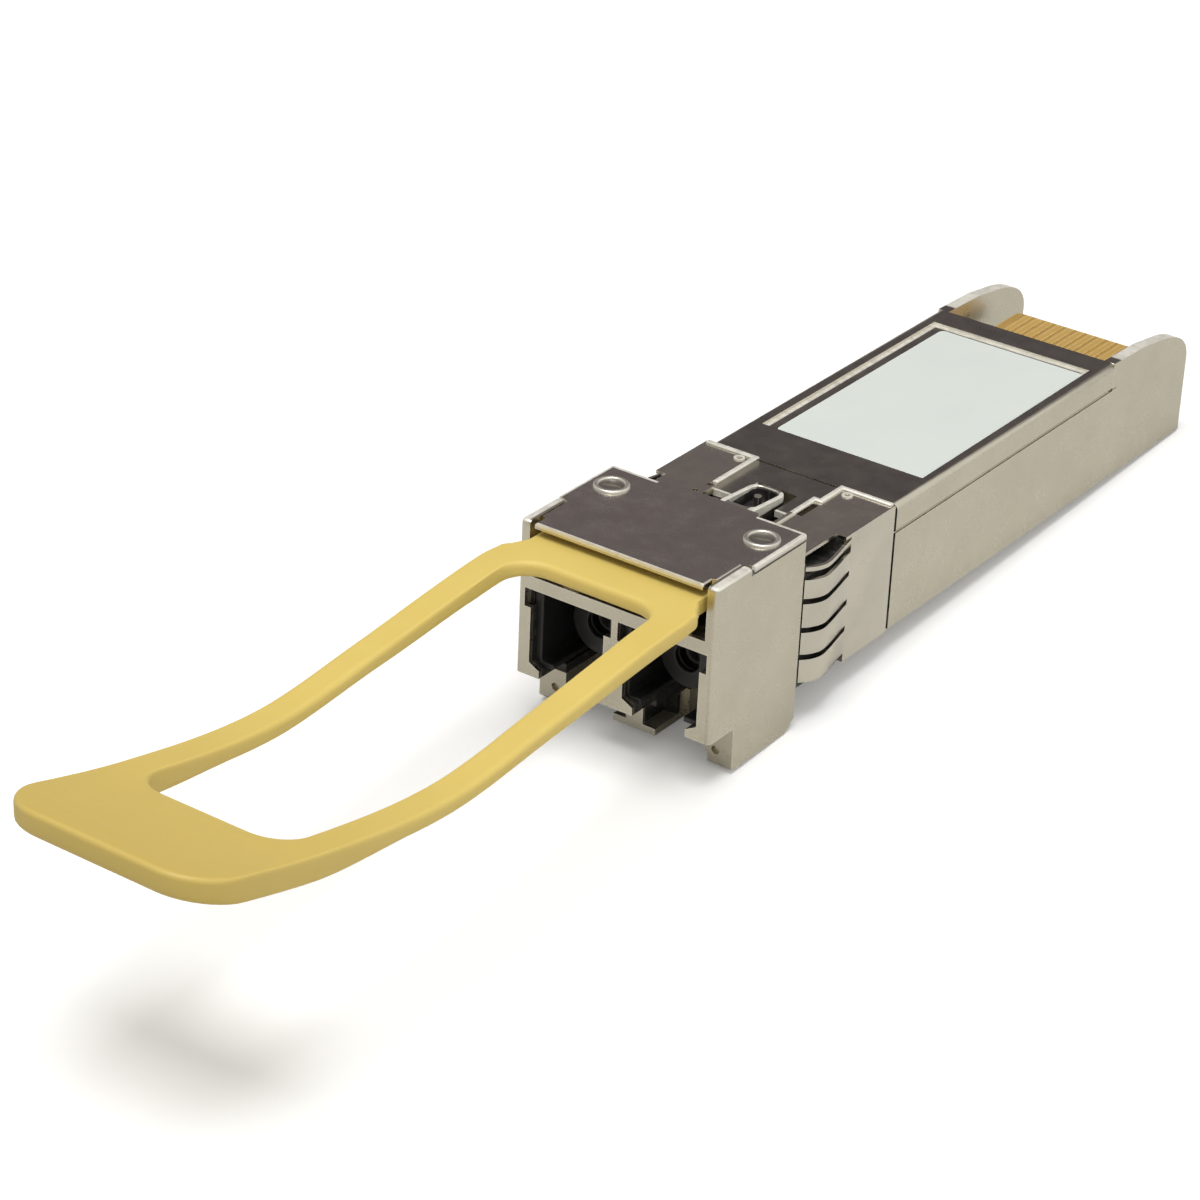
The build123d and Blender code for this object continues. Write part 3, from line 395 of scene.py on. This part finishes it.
# ------------------------------------------------------------------ pull tab
# (Y, Z) of the tab's upper face, from its root in the head to its raised tip
tab_line = [
    (-5.0, 1.2), (-9.0, 1.2), (-14.0, 1.18), (-24.0, 0.3), (-33.0, -0.28), (-43.0, 1.3), (-53.0, 4.0),
]
tab_half, tab_rear, tab_front = 6.9, -5.25, -52.55
loop_half, loop_rear, loop_front = 5.0, -11.55, -44.25
tab_corners = (0.6, 3.0)         # outer corner radii, rear and front
loop_corners = (2.0, 2.2)        # inner corner radii, rear and front
tab_edge = 0.36                  # radius of the rounded edges all round
arm_depth = 1.0
tip_extra_depth = 0.5
tip_start, tip_blend = -36.0, 8.0
# (Y, half width) of the tab where it narrows into the head
root_stops = [(-5.0, 5.9), (-9.2, 5.9), (-9.9, 6.2), (-10.7, 6.75), (-12.2, tab_half), (-60.0, tab_half)]
straight_steps = (90, 20, 90, 20)
corner_steps, across_steps, edge_steps = 10, 10, 6


def ease(t):
    return t * t * (3 - 2 * t)


def smooth_height(y):
    """Height of the tab's upper face at depth y, by a Catmull-Rom curve through tab_line."""
    points = tab_line
    for i in range(len(points) - 1):
        (y0, z0), (y1, z1) = points[i], points[i + 1]
        if y1 <= y <= y0:
            before = points[max(i - 1, 0)]
            after = points[min(i + 2, len(points) - 1)]
            m0 = (z1 - before[1]) / (y1 - before[0]) if i else 0.0
            m1 = (after[1] - z0) / (after[0] - y0)
            h = y1 - y0
            t = (y - y0) / h
            return ((2 * t**3 - 3 * t**2 + 1) * z0 + (t**3 - 2 * t**2 + t) * h * m0
                    + (-2 * t**3 + 3 * t**2) * z1 + (t**3 - t**2) * h * m1)
    return points[0][1] if y > points[0][0] else points[-1][1]


def tab_depth(y):
    """Thickness of the tab at depth y, which grows towards its tip."""
    blend = min(max((tip_start - y) / tip_blend, 0.0), 1.0)
    return arm_depth + tip_extra_depth * ease(blend)


def rounded_loop(half, rear, front, rear_radius, front_radius):
    """Closed loop round a rectangle with round corners: the same number of points for any size."""
    corners = [(half, rear, rear_radius, 90), (half, front, front_radius, 0),
               (-half, front, front_radius, -90), (-half, rear, rear_radius, 180)]
    arcs = []
    for x, y, r, start in corners:
        cx = x - math.copysign(r, x)
        cy = y - r if y == rear else y + r
        angles = [math.radians(start - 90 * k / corner_steps) for k in range(corner_steps + 1)]
        arcs.append([(cx + r * math.cos(angle), cy + r * math.sin(angle)) for angle in angles])
    loop = []
    for arc, following, count in zip(arcs, arcs[1:] + arcs[:1], straight_steps):
        (x0, y0), (x1, y1) = arc[-1], following[0]
        loop += arc
        loop += [(x0 + (x1 - x0) * k / count, y0 + (y1 - y0) * k / count) for k in range(1, count)]
    return loop


def root_squeeze(x, y):
    """Narrows the outer edge where the tab enters the head."""
    for (ya, ha), (yb, hb) in zip(root_stops, root_stops[1:]):
        if yb <= y <= ya:
            return x * (ha + (hb - ha) * ease((y - ya) / (yb - ya))) / tab_half
    return x


def build_tab():
    """Band between the finger loop and the outline, with a section of two rounded edges."""
    inner = rounded_loop(loop_half, loop_rear, loop_front, *loop_corners)
    outer = rounded_loop(tab_half, tab_rear, tab_front, *tab_corners)
    outer = [(root_squeeze(x, y), y) for x, y in outer]
    steps = []
    for k in range(edge_steps + 1):
        angle = math.pi / 2 * k / edge_steps
        steps.append((tab_edge * (1 - math.cos(angle)), tab_edge * (1 - math.sin(angle))))
    mesh = bmesh.new()
    rings = []
    for (xi, yi), (xo, yo) in zip(inner, outer):
        width = math.hypot(xo - xi, yo - yi)
        top, low = [], []
        flat = [(tab_edge + (width - 2 * tab_edge) * k / across_steps, 0.0) for k in range(1, across_steps)]
        profile = steps + flat + [(width - d, h) for d, h in reversed(steps)]
        for d, h in profile:
            t = d / width
            x, y = xi + (xo - xi) * t, yi + (yo - yi) * t
            top.append((x, y, smooth_height(y) - h))
            low.append((x, y, smooth_height(y) - tab_depth(y) + h))
        rings.append([mesh.verts.new(Vector(p) * MM) for p in top + low[::-1]])
    for a, b in zip(rings, rings[1:] + rings[:1]):
        for k in range(len(a)):
            m = (k + 1) % len(a)
            mesh.faces.new((a[k], b[k], b[m], a[m]))
    obj = mesh_object("pull_tab_band", mesh, tab_plastic)
    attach(obj, "slider")
    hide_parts("pull_tab")


build_tab()


# ------------------------------------------------------------------ return springs
seat_front, seat_rear = -7.4, -3.9
coil_inset = 0.08                # the wire's centre line ends this far from each seat
front, rear = seat_front + coil_inset, seat_rear - coil_inset
coil_x, coil_z = 4.0, -1.0
coil_radius, wire = 0.30, 0.07
coil_turns, steps_per_turn, wire_sides = 9, 28, 10
end_crowding = 0.045             # draws the first and last turns together


def build_spring(name, centre_x):
    """Coil spring along Y whose end turns lie closer together than the rest."""
    mesh = bmesh.new()
    rings = []
    total = coil_turns * steps_per_turn
    along = Vector((0, 1, 0))
    for i in range(total + 1):
        t = i / total
        angle = 2 * math.pi * coil_turns * t
        y = front + (rear - front) * (t - end_crowding * math.sin(2 * math.pi * t))
        outward = Vector((math.cos(angle), 0, math.sin(angle)))
        centre = Vector((centre_x, y, coil_z)) + coil_radius * outward
        ring = []
        for k in range(wire_sides):
            turn = 2 * math.pi * k / wire_sides
            offset = wire * (outward * math.cos(turn) + along * math.sin(turn))
            ring.append(mesh.verts.new((centre + offset) * MM))
        rings.append(ring)
    for a, b in zip(rings, rings[1:]):
        for k in range(wire_sides):
            m = (k + 1) % wire_sides
            mesh.faces.new((a[k], a[m], b[m], b[k]))
    mesh.faces.new(rings[0])
    mesh.faces.new(rings[-1][::-1])
    obj = mesh_object(name + "_coil", mesh, spring)
    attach(obj, "module")
    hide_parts(name)
    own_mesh(obj)


build_spring("right_return_spring", coil_x)
build_spring("left_return_spring", -coil_x)


# ------------------------------------------------------------------ stage
floor_reach = 1.2
floor_rise, floor_run = 2.1, 48.4       # slope of the surface under the lugs and the rear end
floor_place = Vector((0, -0.9, -10.85))
floor_corners = [(x * floor_reach, y * floor_reach, 0) for x, y in ((-1, -1), (1, -1), (1, 1), (-1, 1))]
floor_mesh = bpy.data.meshes.new("floor")
floor_mesh.from_pydata(floor_corners, [], [(0, 1, 2, 3)])
floor = bpy.data.objects.new("floor", floor_mesh)
bpy.context.collection.objects.link(floor)
floor.rotation_euler = Euler((math.atan2(floor_rise, floor_run), 0, 0))
floor.location = floor_place * MM
paper = Nodes("paper")
seen = paper.tree.nodes.new("ShaderNodeLightPath").outputs["Is Camera Ray"]
fibre_tone = paper.mix(paper.ramp(paper.noise(6), 0.3, 0.7), (0.96, 0.96, 0.96), (0.94, 0.94, 0.94))
paper.set(Base_Color=paper.mix(seen, (0.62, 0.61, 0.58), fibre_tone), Roughness=0.9,
          Emission_Color=(1, 1, 1, 1), Emission_Strength=paper.math("MULTIPLY", seen, 0.12))
clothe(floor, paper.material)

world = bpy.data.worlds.new("studio")
bpy.context.scene.world = world
world.use_nodes = True
tree = world.node_tree
background = tree.nodes["Background"]
coordinates = tree.nodes.new("ShaderNodeTexCoord")


def tone_towards(direction, stops):
    """Sky tone by how nearly a ray points in a direction, from (cosine, tone) stops."""
    dot = tree.nodes.new("ShaderNodeVectorMath")
    dot.operation = "DOT_PRODUCT"
    tree.links.new(coordinates.outputs["Generated"], dot.inputs[0])
    dot.inputs[1].default_value = Vector(direction).normalized()
    ramp = tree.nodes.new("ShaderNodeValToRGB")
    tree.links.new(dot.outputs["Value"], ramp.inputs["Fac"])
    for stop in stops[1:-1]:
        ramp.color_ramp.elements.new(stop[0])
    for element, (position, tone) in zip(ramp.color_ramp.elements, stops):
        element.position = position
        element.color = (*tone, 1)
    return ramp.outputs[0]


# soft dome, and a dark flag behind the object that its upper faces mirror
flag_tone = tone_towards((-0.50, 0.72, 0.48), [
    (0.0, (0.80, 0.80, 0.78)), (0.60, (0.80, 0.80, 0.78)), (0.80, (0.36, 0.34, 0.33)),
    (0.90, (0.17, 0.155, 0.155)), (1.0, (0.165, 0.145, 0.15))])
# the dome dims ahead of the tab
ahead_tone = tone_towards((-0.35, -0.90, 0.10), [
    (0.0, (1, 1, 1)), (0.35, (0.95, 0.95, 0.95)), (0.75, (0.55, 0.55, 0.55)), (1.0, (0.45, 0.45, 0.45))])
shade = tree.nodes.new("ShaderNodeMix")
shade.data_type = "RGBA"
shade.blend_type = "MULTIPLY"
shade.inputs["Factor"].default_value = 1.0
tree.links.new(flag_tone, shade.inputs[6])
tree.links.new(ahead_tone, shade.inputs[7])
tree.links.new(shade.outputs[2], background.inputs["Color"])
background.inputs["Strength"].default_value = 1.09


lamp = bpy.data.lights.new("key", "AREA")
lamp.energy = 2.1
lamp.size = 0.30
key = bpy.data.objects.new("key", lamp)
bpy.context.collection.objects.link(key)
key.location = Vector((0.02, -0.16, 0.56))
key.rotation_euler = (-key.location).to_track_quat("-Z", "Y").to_euler()

camera_turn = (61.846, -2.290, 35.904)
scene = bpy.context.scene
camera_data = bpy.data.cameras.new("camera")
camera_data.sensor_width = 36.0
camera_data.lens = 114.58
camera_data.clip_start = 0.01
camera = bpy.data.objects.new("camera", camera_data)
bpy.context.collection.objects.link(camera)
camera.location = Vector((108.4, -167.24, 101.56)) * MM
camera.rotation_euler = Euler([math.radians(angle) for angle in camera_turn], "XYZ")
scene.camera = camera
scene.view_settings.view_transform = "Standard"
